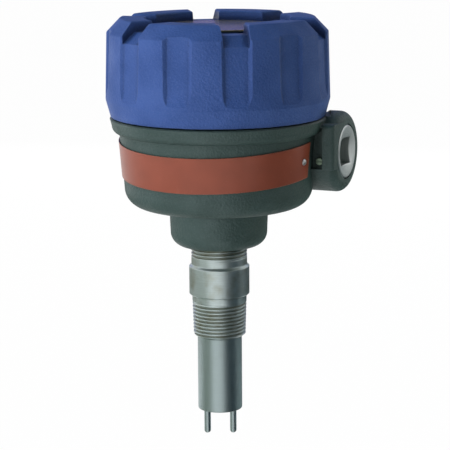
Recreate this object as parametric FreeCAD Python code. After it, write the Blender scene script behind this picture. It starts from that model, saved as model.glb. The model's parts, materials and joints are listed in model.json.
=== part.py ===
"""Thermal dispersion switch: a twin-tip probe under a cast two-part instrument housing.

Millimetres, +Z up. The origin lies on the probe's axis at the shoulder where the process
thread begins, so all that goes into the pipe lies below z = 0. The conduit entry points to +X.
"""
import FreeCAD, Part
import math
import os

V = FreeCAD.Vector
UP = V(0, 0, 1)

# Fits and clearances
thread_gap = 0.05        # radial, between a plain threaded spigot and its hole
seat_gap = 0.03          # radial, between pieces that are welded, glued or driven together
cover_gap = 0.3          # radial, between the cover's bore and the housing's collar
seal_gap = 0.3           # round the cover seal in its groove
skirt_gap = 0.65         # under the cover's edge
rotor_gap = 0.08         # round a trimmer's rotor in its body

# Probe
tip_d = 3.3
tip_wall = 0.5
tip_exposed = 13.6
tip_inside = 14.2
tip_spacing = 13.0
tip_clock_deg = 22.1     # the tips' plane, turned from the conduit's axis
element_d = 1.8
element_length = 8.0
lead_d = 0.8
tube_d = 22.2
tube_wall = 1.65
tube_end_z = -59.05
tube_edge = 0.6
end_cap_thickness = 3.0
potting_depth = 10.2
relief_length = 3.2
process_thread_length = 17.7
process_thread_d = 27.1  # over the crests, at the thread's upper end
taper_per_side = 1 / 32
thread_end_chamfer = 0.9
tube_seat_depth = 19.0
tube_spigot_step = 0.5   # the barrel's end is turned down by this where it enters the fitting
weld_groove = 0.4
collar_d = 30.05
collar_height = 15.5
collar_chamfer = 0.6
collar_shoulder = 1.15   # height of the cone between the collar and the band
band_d = 27.8
band_height = 3.45
upper_thread_length = 20.0
passage_d = 18.8

# Housing casting
cover_thread_r = 45.6    # root of the cover's screw thread
cover_thread_depth = 0.9
cover_thread_top_z = 104.0
cover_thread_chamfer = 1.2
collar_wall = 4.4
bowl_wall_foot = 5.2
bowl_wall_head = 7.4
bowl_bottom_z = 45.4
bowl_round = 9.4
neck_bottom_z = 25.05
neck_bottom_r = 24.0
neck_draft = 0.5
neck_round = 7.0
neck_fillet = 1.2
flange_round = 3.6
flange_bottom_z = 85.6
flange_draft = 0.9
flange_top_z = 89.65
flange_edge = 0.7
cavity_floor_z = 49.2
cavity_floor_round = 4.0

# Conduit entry
entry_y = 22.3
entry_z = 71.6
entry_r = 19.9
entry_reach = 6.1        # the entry's face stands this far out past the flange
entry_root_x = 12.0
entry_edge = 4.5
pad_near_y = 1.8
pad_edge = 1.8
pad_bottom_drop = 6.4
entry_cover_room = 0.4   # radial, from the cover's skirt to the entry
pad_rise = 15.4
pad_rim = 5.8            # metal left between the slot and the entry's face
slot_depth = 4.2
plug_r = 13.5
plug_length = 15.0
plug_proud = 0.1
plug_chamfer = 0.9
plug_socket = 13.2
plug_socket_depth = 9.5
plug_dish_r = 11.6
plug_dish_depth = 1.6
conduit_bore_r = 11.6

# Outside fixings
earth_head_r = 1.9
earth_head_height = 1.9
earth_shank_r = 1.5
earth_shank_wall = 0.5   # metal left between the shank's end and the plug
inner_earth_shank_length = 3.2
earth_slot_width = 0.8
earth_drop = 2.7
earth_room = 0.1
drive_head_r = 1.75
drive_head_height = 1.0
drive_shank_r = 0.95
drive_shank_length = 3.2
drive_rise = 0.1         # a flat-bottomed head on a curved strip

# Wrap nameplate
label_bottom_z = 58.6    # at the strip's middle
label_height = 17.2
label_gap = 0.2
label_thickness = 0.5
label_end_deg = -3.1
label_sweep_deg = 172.0
label_fix_inset_deg = 6.3

# Cover casting
skirt_wall = 5.9
cover_flare = 2.25
cover_flare_height = 8.4
cover_draft = 0.95
cover_chamfer = 6.65
cover_chamfer_height = 6.9
cover_height = 47.7
cover_edge = 0.8
lug_depth = 12.0
lug_edge = 1.1
rim_depth = 5.9
cover_top_thickness = 5.8
cover_shoulder = 3.4
cover_bore_room = 3.3    # from the top of the housing's thread to the bore's end
cover_clock_deg = 2.2
flute_count = 12
flute_floor_width = 10.7
flute_slope = 1.75
flute_top_depth = 1.85
flute_low_depth = 1.75
flute_runout = 9.0       # the length over which the floor curves out to the wall
flute_bottom_rise = 1.2
notch_width = 12.9
notch_floor_rise = 0.9   # above the rim's recess
notch_ridge_inset = 1.75  # where the notch's floor begins to fall, inside the rim's ridge
notch_fall = 6.1         # the floor falls by this on its way to the wall
notch_draft = 0.07       # how much each side of a notch leans out per unit of height
plate_margin = 6.9
plate_overhang = 2.1
plate_pad_height = 0.7
plate_thickness = 1.1
seal_section_r = 1.3
seal_rise = 3.0

# Electronics
board_thickness = 1.6
lower_board_z = 54.2
lower_board_margin = 7.7
upper_board_z = 92.0
upper_board_margin = 8.2
post_r = 3.6
post_inset = 4.0
post_angles_deg = (90.0, 210.0, 330.0)
spacer_r = 3.0
stud_r = 1.5
stud_length = 5.0
screw_head_r = 2.8
screw_head_height = 2.0
screw_length = 6.0
transformer_at = (-12.0, 6.0)
core_size = (30.0, 18.0, 25.0)
core_window = (5.5, 13.0)
coil_overhang = 4.0
relay_x = 6.0
relay_inset = 11.0       # from the board's edge
relay_size = (24.0, 11.0, 15.5)
relay_edge = 0.8
capacitor_at = ((11.0, -6.5), (11.0, 5.5))
capacitor_r = 5.0
capacitor_height = 16.0
terminal_inset = 15.0    # from the board's edge
terminal_section = (11.0, 12.0)
terminal_room = 2.75     # from each end to a board screw's head
terminal_pitch = 6.35
terminal_well_r = 2.4
terminal_well_depth = 5.0
terminal_end = 0.9       # moulding left past the last way at each end
terminal_entry = (4.4, 4.6)
terminal_screw_r = 2.0
terminal_screw_height = 2.2
trimmer_at = ((-11.0, 12.0), (11.0, 12.0))
trimmer_size = (9.6, 9.6, 5.2)
trimmer_rotor_r = 3.0
trimmer_rotor_height = 1.6
trimmer_slot = (0.9, 0.8)
lamp_at = (0.0, 14.0)
lamp_r = 2.5
lamp_height = 6.4
lamp_rim = (2.9, 1.0)
inner_earth_angle_deg = 152.0
inner_earth_inset = 3.2
inner_earth_head_r = 2.7
inner_earth_post_r = 3.7
inner_earth_post_height = 7.0

# Worked-out levels and radii
tube_r = tube_d / 2
tube_bore_r = tube_r - tube_wall
tube_spigot_r = tube_r - tube_spigot_step
thread_top_r = process_thread_d / 2
thread_end_z = -relief_length - process_thread_length
thread_end_r = thread_top_r - process_thread_length * taper_per_side
band_top_z = collar_height + band_height
fitting_top_z = band_top_z + upper_thread_length
cavity_r = cover_thread_r - collar_wall
neck_top_r = neck_bottom_r + neck_draft
bowl_bottom_r = cavity_r + bowl_wall_foot
wall_top_r = cavity_r + bowl_wall_head
flange_bottom_r = wall_top_r + flange_round
flange_top_r = flange_bottom_r + flange_draft
entry_face_x = flange_top_r + entry_reach
slot_outer_r = entry_face_x - pad_rim
slot_floor_y = pad_near_y + slot_depth
earth_shank_length = entry_y - plug_r - slot_floor_y - earth_shank_wall
cover_bottom_z = flange_top_z + skirt_gap
cover_top_z = cover_bottom_z + cover_height
recess_z = cover_top_z - rim_depth
cover_ceiling_z = recess_z - cover_top_thickness
cover_bore_r = cover_thread_r + cover_thread_depth + cover_gap
cover_bottom_r = cover_bore_r + skirt_wall
cover_wall_bottom_r = cover_bottom_r + cover_flare
cover_wall_top_r = cover_wall_bottom_r - cover_draft
cover_top_r = cover_wall_top_r - cover_chamfer
cover_cavity_r = cover_bore_r - cover_shoulder
rim_inner_r = cover_top_r - lug_depth
plate_r = rim_inner_r - plate_margin
plate_pad_r = plate_r - plate_overhang
seal_r = cover_bore_r + seal_section_r
lower_board_r = cavity_r - lower_board_margin
upper_board_r = cavity_r - upper_board_margin
post_circle_r = lower_board_r - post_inset
lower_board_top_z = lower_board_z + board_thickness
upper_board_top_z = upper_board_z + board_thickness
post_reach_x = post_circle_r * math.cos(math.radians(post_angles_deg[2]))
terminal_length = 2 * (post_reach_x - screw_head_r - terminal_room)
terminal_ways = int((terminal_length - 2 * terminal_end) / terminal_pitch + 1e-6)
relay_y = relay_inset - lower_board_r
terminal_y = terminal_inset - upper_board_r


def cylinder(radius, height, at=V(0, 0, 0), along=UP):
    """A plain round bar that starts at a point and runs along a direction."""
    return Part.makeCylinder(radius, height, at, along)


def block(size, at):
    """A box on a centre line: at gives the middle of its bottom face."""
    x, y, z = at
    return Part.makeBox(size[0], size[1], size[2], V(x - size[0] / 2, y - size[1] / 2, z))


def turned(steps, sweep_deg=360):
    """A lathe form: steps are (r, z) corners, and a step of two pairs is an arc through the first."""
    corners = [step if not isinstance(step[0], tuple) else step[1] for step in steps]
    edges = []
    for start, step, end in zip(corners, steps[1:] + steps[:1], corners[1:] + corners[:1]):
        first = V(start[0], 0, start[1])
        last = V(end[0], 0, end[1])
        if isinstance(step[0], tuple):
            edges.append(Part.Arc(first, V(step[0][0], 0, step[0][1]), last).toShape())
        else:
            edges.append(Part.LineSegment(first, last).toShape())
    return Part.Face(Part.Wire(edges)).revolve(V(0, 0, 0), UP, sweep_deg)


def rounded_corner(r, z, radius, r_side, z_side):
    """The arc step of a quarter round at a corner: r_side and z_side point from its centre to it."""
    middle = radius * math.sqrt(0.5)
    centre_r = r - r_side * radius
    centre_z = z - z_side * radius
    return (centre_r + r_side * middle, centre_z + z_side * middle)


def on_circle(radius, angle_deg, z=0.0):
    """A point on a circle about the Z axis."""
    angle = math.radians(angle_deg)
    return V(radius * math.cos(angle), radius * math.sin(angle), z)


def spun(shape, angle_deg):
    """A copy turned about the Z axis."""
    copy = shape.copy()
    copy.rotate(V(0, 0, 0), UP, angle_deg)
    return copy


def wall_slope():
    """How much the housing wall's radius grows per unit of height, by its draft."""
    return (wall_top_r - bowl_bottom_r) / (flange_bottom_z - flange_round - bowl_bottom_z - bowl_round)


def wall_r(z):
    """The housing wall's radius at a height."""
    return bowl_bottom_r + wall_slope() * (z - bowl_bottom_z - bowl_round)


def inner_earth_place(z):
    """The axis of the inside earth screw at a height."""
    return on_circle(cavity_r - inner_earth_inset, inner_earth_angle_deg, z)


def tip_places():
    """The two tips' centres, on a line through the probe's axis."""
    return [on_circle(tip_spacing / 2, tip_clock_deg + turn) for turn in (0, 180)]


def post_places(z):
    """The centres of the board posts at one height."""
    return [on_circle(post_circle_r, angle, z) for angle in post_angles_deg]


def housing_skin():
    """The outside of the casting: neck, bowl, flange and screwed collar."""
    return turned([
        (0, neck_bottom_z),
        (neck_bottom_r - neck_round, neck_bottom_z),
        (rounded_corner(neck_bottom_r, neck_bottom_z, neck_round, 1, -1),
         (neck_bottom_r, neck_bottom_z + neck_round)),
        (neck_top_r, bowl_bottom_z - neck_fillet),
        (rounded_corner(neck_top_r, bowl_bottom_z, neck_fillet, -1, 1),
         (neck_top_r + neck_fillet, bowl_bottom_z)),
        (bowl_bottom_r - bowl_round, bowl_bottom_z),
        (rounded_corner(bowl_bottom_r, bowl_bottom_z, bowl_round, 1, -1),
         (bowl_bottom_r, bowl_bottom_z + bowl_round)),
        (wall_top_r, flange_bottom_z - flange_round),
        (rounded_corner(flange_bottom_r, flange_bottom_z - flange_round, flange_round, 1, -1),
         (flange_bottom_r, flange_bottom_z)),
        (flange_top_r, flange_top_z - flange_edge),
        (flange_top_r - flange_edge, flange_top_z),
        (cover_thread_r, flange_top_z),
        (cover_thread_r, cover_thread_top_z - cover_thread_chamfer),
        (cover_thread_r - cover_thread_chamfer, cover_thread_top_z),
        (0, cover_thread_top_z),
    ])


def housing_cavity():
    """The room for the electronics, with a rounded floor edge."""
    return turned([
        (0, cavity_floor_z),
        (cavity_r - cavity_floor_round, cavity_floor_z),
        (rounded_corner(cavity_r, cavity_floor_z, cavity_floor_round, 1, -1),
         (cavity_r, cavity_floor_z + cavity_floor_round)),
        (cavity_r, cover_thread_top_z + 1),
        (0, cover_thread_top_z + 1),
    ])


def conduit_boss():
    """The offset conduit entry: a round boss with a squared pad, cut clear of the cover."""
    along = V(1, 0, 0)
    length = entry_face_x - entry_root_x
    boss = cylinder(entry_r, length, V(entry_root_x, entry_y, entry_z), along)
    end_x = entry_face_x - 1e-6
    boss = boss.makeFillet(entry_edge, [edge for edge in boss.Edges if edge.BoundBox.XMin > end_x])
    pad = Part.makeBox(length, entry_y - pad_near_y, pad_bottom_drop + pad_rise,
                       V(entry_root_x, pad_near_y, entry_z - pad_bottom_drop))
    near = [edge for edge in pad.Edges if edge.BoundBox.YMax < pad_near_y + 1e-6]
    pad = pad.makeFillet(pad_edge, [edge for edge in near if edge.BoundBox.XMin > end_x
                                    or edge.BoundBox.ZMin > entry_z + pad_rise - 1e-6])
    cover_room = cylinder(cover_wall_bottom_r + entry_cover_room, entry_r * 2, V(0, 0, flange_top_z))
    return boss.fuse(pad).removeSplitter().cut(cover_room)


def earth_slot(skin):
    """The upright slot between the wall and the conduit pad that shelters the earth screw."""
    bottom = entry_z - pad_bottom_drop
    height = flange_bottom_z - flange_round - bottom
    reach = Part.makeBox(slot_outer_r, slot_depth + 1, height + flange_round,
                         V(0, pad_near_y - 1, bottom))
    return reach.common(cylinder(slot_outer_r, height + flange_round, V(0, 0, bottom))).cut(skin)


def earth_screw_place():
    """The seat of the outside earth screw, on the slot's floor."""
    floor_x = math.sqrt(slot_outer_r ** 2 - slot_floor_y ** 2)
    return V(floor_x - earth_head_r - earth_room, slot_floor_y, entry_z - earth_drop)


def label_climb(turn_deg):
    """How far a straight strip has climbed the tapered wall at a turn from its middle."""
    return wall_slope() * wall_r(label_bottom_z) * (1 - math.cos(math.radians(turn_deg)))


def label_fix_places():
    """The seats of the nameplate's drive screws on the strip's face, with their directions."""
    seats = []
    for turn in (label_sweep_deg / 2 - label_fix_inset_deg, label_fix_inset_deg - label_sweep_deg / 2):
        z = label_bottom_z + label_height / 2 + label_climb(turn)
        angle = label_end_deg - label_sweep_deg / 2 + turn
        out = on_circle(1, angle, -wall_slope()).normalize()
        seats.append((on_circle(wall_r(z) + label_gap + label_thickness + drive_rise, angle, z), out))
    return seats


def housing():
    """The base casting, bored for the probe, the conduit and every fixing."""
    skin = housing_skin()
    body = skin.fuse(conduit_boss().cut(earth_slot(skin))).removeSplitter()
    body = body.cut(housing_cavity())
    posts = [cylinder(post_r, lower_board_z - cavity_floor_z + 1, place)
             for place in post_places(cavity_floor_z - 1)]
    earth_post = cylinder(inner_earth_post_r, inner_earth_post_height + 1,
                          inner_earth_place(cavity_floor_z - 1))
    body = body.fuse(posts + [earth_post]).removeSplitter()
    entry = V(entry_face_x + 1, entry_y, entry_z)
    inward = V(-1, 0, 0)
    cuts = [
        cylinder(band_d / 2 + thread_gap, fitting_top_z - neck_bottom_z + thread_gap + 1,
                 V(0, 0, neck_bottom_z - 1)),
        cylinder(passage_d / 2, cavity_floor_z - neck_bottom_z + 1, V(0, 0, neck_bottom_z)),
        cylinder(plug_r + thread_gap, plug_length - plug_proud + 1 + thread_gap, entry, inward),
        cylinder(conduit_bore_r, entry_face_x - entry_root_x + 1, entry, inward),
        cylinder(earth_shank_r + seat_gap, earth_shank_length + seat_gap, earth_screw_place(), V(0, 1, 0)),
        cylinder(stud_r + seat_gap, inner_earth_shank_length + seat_gap,
                 inner_earth_place(cavity_floor_z + inner_earth_post_height), V(0, 0, -1)),
    ]
    cuts += [cylinder(stud_r + seat_gap, stud_length, place)
             for place in post_places(lower_board_top_z - stud_length - seat_gap)]
    cuts += [cylinder(drive_shank_r + seat_gap, drive_shank_length + 1, place + out, out * -1)
             for place, out in label_fix_places()]
    return body.cut(cuts)


def wrap_nameplate():
    """The thin straight strip bent round the tapered wall, so that its ends climb, with two holes."""
    low_z = label_bottom_z - label_height
    high_z = label_bottom_z + label_height * 2
    low_r = wall_r(low_z) + label_gap
    high_r = wall_r(high_z) + label_gap
    sleeve = turned([
        (low_r, low_z),
        (low_r + label_thickness, low_z),
        (high_r + label_thickness, high_z),
        (high_r, high_z),
    ], label_sweep_deg)
    middle_r = wall_r(label_bottom_z)
    band = block((middle_r * 4, middle_r * 4, label_height), (0, 0, label_bottom_z))
    band.rotate(V(middle_r, 0, label_bottom_z), V(0, 1, 0), math.degrees(math.atan(wall_slope())))
    strip = spun(sleeve, -label_sweep_deg / 2).common(band)
    strip = spun(strip, label_end_deg - label_sweep_deg / 2)
    holes = [cylinder(drive_shank_r + seat_gap, 4, place + out * 2, out * -1)
             for place, out in label_fix_places()]
    return strip.cut(holes)


def drive_screw(place, out):
    """A domed drive screw for the nameplate."""
    crown = (drive_head_r ** 2 + drive_head_height ** 2) / (2 * drive_head_height)
    head = Part.makeSphere(crown, place + out * (drive_head_height - crown))
    head = head.common(cylinder(drive_head_r, drive_head_height + 1, place, out))
    return head.fuse(cylinder(drive_shank_r, drive_shank_length, place, out * -1))


def nameplate_screws():
    """Both drive screws, each pressed through the strip into the wall."""
    return Part.makeCompound([drive_screw(place, out) for place, out in label_fix_places()])


def pan_screw(head_r, head_height, shank_r, shank_length, slot_width):
    """A slotted pan-head screw that stands on z = 0, its shank below."""
    edge = head_height / 3
    head = cylinder(head_r, head_height)
    rim = [e for e in head.Edges if abs(e.BoundBox.ZMin - head_height) < 1e-6]
    head = head.makeFillet(edge, rim)
    head = head.cut(block((head_r * 3, slot_width, head_height), (0, 0, head_height * 0.6)))
    return head.fuse(cylinder(shank_r, shank_length, V(0, 0, -shank_length)))


def earth_screw():
    """The outside earth screw, in its slot beside the conduit boss."""
    screw = pan_screw(earth_head_r, earth_head_height, earth_shank_r, earth_shank_length, earth_slot_width)
    screw.rotate(V(0, 0, 0), V(1, 0, 0), 90)
    screw.translate(earth_screw_place())
    return screw


def inner_earth_screw():
    """The earth screw inside the housing, on its own post."""
    screw = pan_screw(inner_earth_head_r, earth_head_height, stud_r, inner_earth_shank_length,
                      earth_slot_width)
    screw.translate(inner_earth_place(cavity_floor_z + inner_earth_post_height))
    return screw


def conduit_plug():
    """The pipe plug of the conduit entry, with a square socket in a dished face."""
    front_x = entry_face_x + plug_proud
    plug = turned([
        (0, 0),
        (plug_r - plug_chamfer, 0),
        (plug_r, plug_chamfer),
        (plug_r, plug_length - plug_chamfer),
        (plug_r - plug_chamfer, plug_length),
        (plug_dish_r, plug_length),
        (plug_socket / 2, plug_length - plug_dish_depth),
        (0, plug_length - plug_dish_depth),
    ])
    socket = block((plug_socket, plug_socket, plug_socket_depth + 1),
                   (0, 0, plug_length - plug_socket_depth))
    plug = plug.cut(socket)
    plug.rotate(V(0, 0, 0), V(0, 1, 0), 90)
    plug.translate(V(front_x - plug_length, entry_y, entry_z))
    return plug


def probe_fitting():
    """The turned process fitting: collar, taper thread below and housing thread above."""
    collar_r = collar_d / 2
    band_r = band_d / 2
    body = turned([
        (0, thread_end_z),
        (thread_end_r - thread_end_chamfer, thread_end_z),
        (thread_end_r + thread_end_chamfer * taper_per_side, thread_end_z + thread_end_chamfer),
        (thread_top_r, -relief_length),
        (thread_top_r, 0),
        (collar_r - collar_chamfer, 0),
        (collar_r, collar_chamfer),
        (collar_r, collar_height - collar_shoulder),
        (band_r, collar_height),
        (band_r, fitting_top_z - collar_chamfer),
        (band_r - collar_chamfer, fitting_top_z),
        (0, fitting_top_z),
    ])
    tube_seat = cylinder(tube_spigot_r + seat_gap, tube_seat_depth + 1, V(0, 0, thread_end_z - 1))
    passage = cylinder(passage_d / 2, fitting_top_z - thread_end_z + 2, V(0, 0, thread_end_z - 1))
    return body.cut([tube_seat, passage])


def probe_tube():
    """The probe's barrel, with a turned-down spigot welded into the fitting."""
    top_z = thread_end_z + tube_seat_depth
    step_z = thread_end_z - weld_groove
    return turned([
        (tube_bore_r, tube_end_z),
        (tube_r - tube_edge, tube_end_z),
        (rounded_corner(tube_r, tube_end_z, tube_edge, 1, -1), (tube_r, tube_end_z + tube_edge)),
        (tube_r, step_z),
        (tube_spigot_r, step_z),
        (tube_spigot_r, top_z),
        (tube_bore_r, top_z),
    ])


def tip_holes(depth, z):
    """The pair of holes that the tips pass through."""
    return [cylinder(tip_d / 2 + seat_gap, depth + 2, place + V(0, 0, z - 1)) for place in tip_places()]


def probe_end_cap():
    """The disc welded into the barrel's end, which carries the tips."""
    disc = cylinder(tube_bore_r - seat_gap, end_cap_thickness, V(0, 0, tube_end_z))
    return disc.cut(tip_holes(end_cap_thickness, tube_end_z))


def tip_potting():
    """The resin behind the end cap."""
    z = tube_end_z + end_cap_thickness
    return cylinder(tube_bore_r - seat_gap, potting_depth, V(0, 0, z)).cut(tip_holes(potting_depth, z))


def tip_sheath(place):
    """One thin-walled tip, closed by a round end."""
    radius = tip_d / 2
    bore = radius - tip_wall
    end_z = tube_end_z - tip_exposed
    length = tip_exposed + tip_inside - radius
    start = place + V(0, 0, end_z + radius)
    outside = cylinder(radius, length, start).fuse(Part.makeSphere(radius, start))
    inside = cylinder(bore, length, start).fuse(Part.makeSphere(bore, start))
    return outside.cut(inside)


def tip_element(place):
    """The resistance element inside a tip."""
    end_z = tube_end_z - tip_exposed + tip_d / 2
    return cylinder(element_d / 2, element_length, place + V(0, 0, end_z))


def tip_leads():
    """Two insulated leads from each element up to the lower board."""
    start_z = tube_end_z - tip_exposed + tip_d / 2 + element_length
    across = on_circle(1, tip_clock_deg + 90)
    step = lead_d * 0.56
    return Part.makeCompound([
        cylinder(lead_d / 2, lower_board_z - start_z, place + across * side + V(0, 0, start_z))
        for place in tip_places() for side in (-step, step)])


def cover_blank():
    """The cover as turned: flared foot, plain wall, chamfered top and a sunk top face."""
    blank = turned([
        (0, cover_bottom_z),
        (cover_bottom_r, cover_bottom_z),
        (cover_wall_bottom_r, cover_bottom_z + cover_flare_height),
        (cover_wall_top_r, cover_top_z - cover_chamfer_height),
        (cover_top_r, cover_top_z),
        (rim_inner_r, cover_top_z),
        (rim_inner_r, recess_z),
        (plate_pad_r, recess_z),
        (plate_pad_r, recess_z + plate_pad_height),
        (0, recess_z + plate_pad_height),
    ])
    corner_levels = (cover_bottom_z + cover_flare_height, cover_top_z - cover_chamfer_height)
    corners = [edge for edge in blank.Edges
               if edge.BoundBox.ZLength < 1e-6
               and min(abs(edge.BoundBox.ZMin - z) for z in corner_levels) < 1e-6]
    return blank.makeFillet(cover_edge, corners)


def rim_notch():
    """The cutter of one notch: sides that lean out, and a floor that falls from the ridge to the wall."""
    top_z = cover_top_z + 1
    reach = 2.0
    floor_z = recess_z + notch_floor_rise
    ridge_r = cover_top_r - notch_ridge_inset
    low_z = floor_z - notch_fall * (1 + reach / (cover_wall_top_r - ridge_r))
    inner_r = rim_inner_r - reach
    outer_r = cover_wall_top_r + reach
    floor = [V(inner_r, 0, floor_z), V(ridge_r, 0, floor_z), V(outer_r, 0, low_z),
             V(outer_r, 0, top_z), V(inner_r, 0, top_z)]
    narrow = notch_width / 2 - notch_draft * (floor_z - low_z)
    wide = notch_width / 2 + notch_draft * (top_z - floor_z)
    sides = [V(0, -narrow, low_z), V(0, narrow, low_z), V(0, wide, top_z), V(0, -wide, top_z)]
    along = Part.Face(Part.makePolygon(sides + sides[:1])).extrude(V(outer_r, 0, 0))
    across = Part.Face(Part.makePolygon(floor + floor[:1])).extrude(V(0, 2 * outer_r, 0))
    across.translate(V(0, -outer_r, 0))
    return along.common(across)


def castellated(blank):
    """The turned cover with its rim notched into lugs, and the lugs' tops rounded at their edges."""
    notch = rim_notch()
    step = 720 / flute_count
    rim = blank.cut([spun(notch, cover_clock_deg + step * n) for n in range(flute_count // 2)])
    return rim.makeFillet(lug_edge, [edge for edge in rim.Edges if edge.BoundBox.ZMin > cover_top_z - 1e-6])


def flute_section(floor_r, z):
    """One level of a flute: a trapezoid that widens outwards from its floor."""
    reach = flute_top_depth + 2.5
    floor = flute_floor_width / 2
    mouth = floor + reach * flute_slope
    corners = [V(floor_r, -floor, z), V(floor_r + reach, -mouth, z),
               V(floor_r + reach, mouth, z), V(floor_r, floor, z)]
    return Part.makePolygon(corners + corners[:1])


def flute():
    """A finger flute: deepest at the top, by the mould's draft, and run out to nothing at the foot."""
    foot_z = cover_bottom_z + cover_flare_height + flute_bottom_rise
    sections = [flute_section(cover_wall_bottom_r - flute_low_depth * (1 - (1 - share) ** 2),
                              foot_z + flute_runout * share)
                for share in (-0.15, 0.1, 0.3, 0.5, 0.75, 1.0)]
    sections.append(flute_section(cover_wall_top_r - flute_top_depth, cover_top_z + 1))
    return Part.makeLoft(sections, True, True)


def cover():
    """The screwed cover: every other flute meets a notch of the castellated rim."""
    step = 360 / flute_count
    flutes = [spun(flute(), cover_clock_deg + step * n) for n in range(flute_count)]
    bore_top_z = cover_thread_top_z + cover_bore_room
    inside = turned([
        (0, cover_bottom_z - 1),
        (cover_bore_r, cover_bottom_z - 1),
        (cover_bore_r, bore_top_z),
        (cover_cavity_r, bore_top_z),
        (cover_cavity_r, cover_ceiling_z - cavity_floor_round),
        (rounded_corner(cover_cavity_r, cover_ceiling_z, cavity_floor_round, 1, 1),
         (cover_cavity_r - cavity_floor_round, cover_ceiling_z)),
        (0, cover_ceiling_z),
    ])
    groove_low = cover_bottom_z + seal_rise - seal_section_r - seal_gap
    groove = turned([
        (cover_bore_r - 1, groove_low),
        (seal_r + seal_section_r + seal_gap, groove_low),
        (seal_r + seal_section_r + seal_gap, groove_low + 2 * (seal_section_r + seal_gap)),
        (cover_bore_r - 1, groove_low + 2 * (seal_section_r + seal_gap)),
    ])
    return castellated(cover_blank()).cut(flutes).cut([inside, groove])


def cover_seal():
    """The O-ring carried in the cover's groove."""
    return Part.makeTorus(seal_r, seal_section_r, V(0, 0, cover_bottom_z + seal_rise))


def cover_nameplate():
    """The bare gold-coloured disc on the cover's pad."""
    return cylinder(plate_r, plate_thickness, V(0, 0, recess_z + plate_pad_height))


def lower_board():
    """The power board, on the housing's posts."""
    board = cylinder(lower_board_r, board_thickness, V(0, 0, lower_board_z))
    return board.cut([cylinder(stud_r + seat_gap, board_thickness + 2, place)
                      for place in post_places(lower_board_z - 1)])


def board_spacers():
    """The turned spacers between the boards, each with a stud into its post."""
    spacers = []
    height = upper_board_z - lower_board_top_z
    for place in post_places(lower_board_top_z):
        spacer = cylinder(spacer_r, height, place)
        spacer = spacer.fuse(cylinder(stud_r, stud_length, place, V(0, 0, -1)))
        tapped = cylinder(stud_r + seat_gap, screw_length, place + V(0, 0, height), V(0, 0, -1))
        spacers.append(spacer.cut(tapped))
    return Part.makeCompound(spacers)


def upper_board():
    """The signal board, screwed to the spacers."""
    board = cylinder(upper_board_r, board_thickness, V(0, 0, upper_board_z))
    return board.cut([cylinder(stud_r + seat_gap, board_thickness + 2, place)
                      for place in post_places(upper_board_z - 1)])


def board_screws():
    """The screws that hold the upper board down."""
    screw = pan_screw(screw_head_r, screw_head_height, stud_r, screw_length, earth_slot_width)
    return Part.makeCompound([screw.translated(place) for place in post_places(upper_board_top_z)])


def transformer_windows():
    """The two windows of the transformer's core, as bars along Y."""
    x, y = transformer_at
    width, height = core_window
    z = lower_board_top_z + (core_size[2] - height) / 2
    offset = core_size[0] / 4
    return [block((width, core_size[1] + 2, height), (x + side * offset, y, z)) for side in (-1, 1)]


def transformer_core():
    """The laminated core with its two windows."""
    x, y = transformer_at
    return block(core_size, (x, y, lower_board_top_z)).cut(transformer_windows())


def transformer_coil():
    """The winding round the core's middle limb."""
    x, y = transformer_at
    width, height = core_window
    z = lower_board_top_z + (core_size[2] - height) / 2 + seat_gap
    middle = core_size[0] / 2 - width
    outer = (middle + 2 * width - 2 * seat_gap, core_size[1] + 2 * coil_overhang, height - 2 * seat_gap)
    inner = (middle + 2 * seat_gap, core_size[1] + 2 * seat_gap, height)
    return block(outer, (x, y, z)).cut(block(inner, (x, y, z - seat_gap)))


def relay():
    """The sealed output relay."""
    case = block(relay_size, (relay_x, relay_y, lower_board_top_z))
    edges = [e for e in case.Edges if e.BoundBox.ZMax > lower_board_top_z + relay_edge]
    return case.makeFillet(relay_edge, edges)


def capacitors():
    """The smoothing capacitors."""
    return Part.makeCompound([cylinder(capacitor_r, capacitor_height, V(x, y, lower_board_top_z))
                              for x, y in capacitor_at])


def terminal_places():
    """The centres of the terminal block's ways."""
    first = -(terminal_ways - 1) / 2
    return [V((first + n) * terminal_pitch, terminal_y, upper_board_top_z) for n in range(terminal_ways)]


def terminal_block():
    """The wiring terminals: a moulded body with screw wells and wire entries."""
    depth, height = terminal_section
    body = block((terminal_length, depth, height), (0, terminal_y, upper_board_top_z))
    cuts = []
    for place in terminal_places():
        cuts.append(cylinder(terminal_well_r, terminal_well_depth + 1,
                             place + V(0, 0, height - terminal_well_depth)))
        cuts.append(Part.makeBox(terminal_entry[0], depth / 2, terminal_entry[1],
                                 place + V(-terminal_entry[0] / 2, -depth, 1.2)))
    return body.cut(cuts)


def terminal_screws():
    """The clamp screws at the bottom of their wells."""
    floor = terminal_section[1] - terminal_well_depth
    screws = []
    for place in terminal_places():
        head = cylinder(terminal_screw_r, terminal_screw_height, place + V(0, 0, floor))
        slot = block((terminal_screw_r * 3, earth_slot_width, terminal_screw_height),
                     (place.x, place.y, place.z + floor + terminal_screw_height / 2))
        screws.append(head.cut(slot))
    return Part.makeCompound(screws)


def trimmer_body(place):
    """A square trimmer with a round recess for its rotor."""
    body = block(trimmer_size, (place[0], place[1], upper_board_top_z))
    top = upper_board_top_z + trimmer_size[2]
    recess = cylinder(trimmer_rotor_r + rotor_gap, trimmer_rotor_height + 1,
                      V(place[0], place[1], top - trimmer_rotor_height))
    return body.cut(recess)


def trimmer_rotor(place):
    """The slotted rotor, turned by a screwdriver."""
    top = upper_board_top_z + trimmer_size[2]
    rotor = cylinder(trimmer_rotor_r, trimmer_rotor_height - rotor_gap,
                     V(place[0], place[1], top - trimmer_rotor_height + rotor_gap))
    slot = block((trimmer_rotor_r * 1.6, trimmer_slot[0], trimmer_slot[1] + 1),
                 (place[0], place[1], top - trimmer_slot[1]))
    return rotor.cut(slot)


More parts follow.
